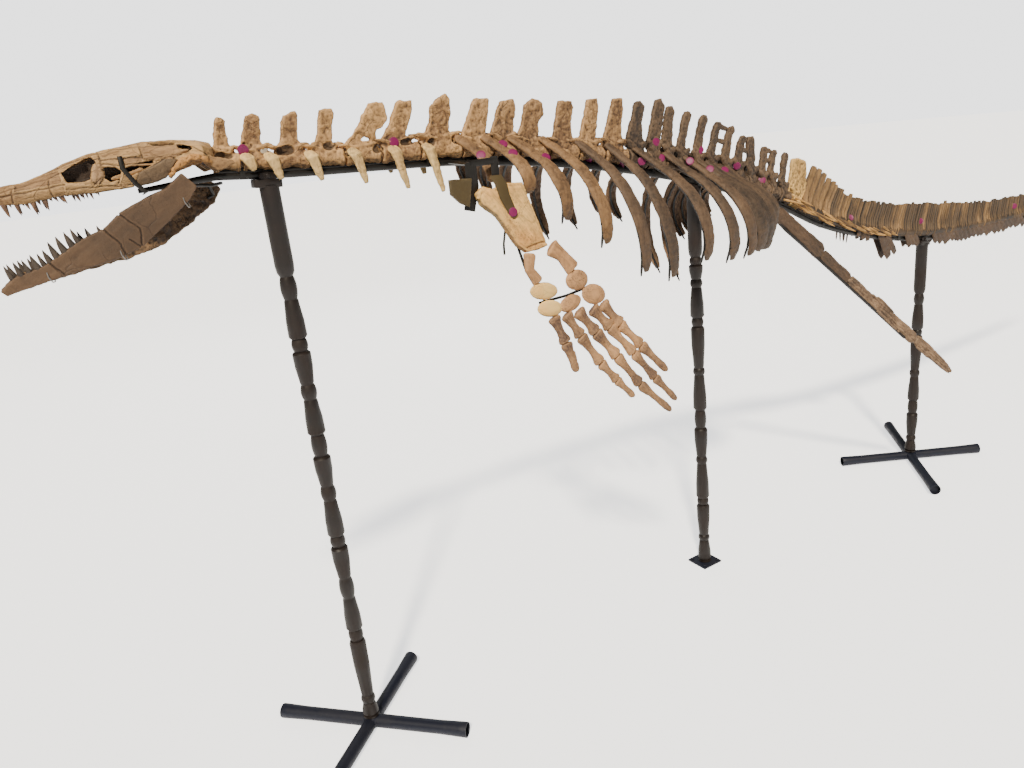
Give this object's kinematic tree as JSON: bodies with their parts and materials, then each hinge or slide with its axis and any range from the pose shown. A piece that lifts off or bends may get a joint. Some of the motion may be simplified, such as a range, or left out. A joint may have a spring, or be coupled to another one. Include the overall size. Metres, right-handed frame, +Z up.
{
  "type": "mounted mosasaur skeleton",
  "caption": "Life-size mounted skeleton of a slender marine reptile, jaws open and paddle hanging, carried by an iron bar on turned posts with crossed tube feet.",
  "frame": {"origin": "centre of the middle post's foot, on the floor", "axes": "+X from the head to the tail, -Y the animal's left side, +Z up"},
  "size_m": [4.742, 0.56, 1.6108],
  "materials": {
    "pale_bone": "matt, pale ochre, of grained bone",
    "bone": "matt, grey-brown, of weathered bone",
    "jaw_bone": "matt to satin, brown",
    "iron": "satin, dark brown-black",
    "base_iron": "satin, blue-black"
  },
  "bodies": {
    "root": {"back_vertebrae": "bone", "left_ankle_bone": "bone", "left_finger_1": "pale_bone", "left_finger_2": "pale_bone", "left_finger_3": "pale_bone", "left_finger_4": "pale_bone", "left_finger_5": "pale_bone", "left_foot_bone": "bone", "left_humerus": "pale_bone", "left_radius": "pale_bone", "left_shin_bone": "bone", "left_shoulder_blade": "bone", "left_thigh_bone": "bone", "left_toe_bone": "bone", "left_ulna": "pale_bone", "left_wrist_bone_1": "pale_bone", "left_wrist_bone_2": "pale_bone", "left_wrist_bone_3": "pale_bone", "left_wrist_bone_4": "pale_bone", "left_wrist_bone_5": "pale_bone", "lower_jaw_left": "jaw_bone", "lower_jaw_right": "jaw_bone", "neck_vertebrae": "pale_bone", "ribs_left": "bone", "ribs_right": "bone", "skull": "pale_bone", "stand_base_front": "base_iron", "stand_base_rear": "base_iron", "stand_foot_middle": "iron", "stand_hind_limb_iron": "iron", "stand_jaw_iron": "iron", "stand_post_front": "iron", "stand_post_middle": "iron", "stand_post_rear": "iron", "stand_rib_irons_left": "iron", "stand_rib_irons_right": "iron", "stand_shoulder_iron": "iron", "stand_skull_strap": "iron", "stand_spine_bar_1": "iron", "stand_spine_bar_2": "iron", "stand_spine_bar_3": "iron", "stand_spine_bar_4": "iron", "tail_end": "bone", "tail_front": "bone", "tail_middle": "bone", "tail_root": "bone"}
  },
  "joints": []
}
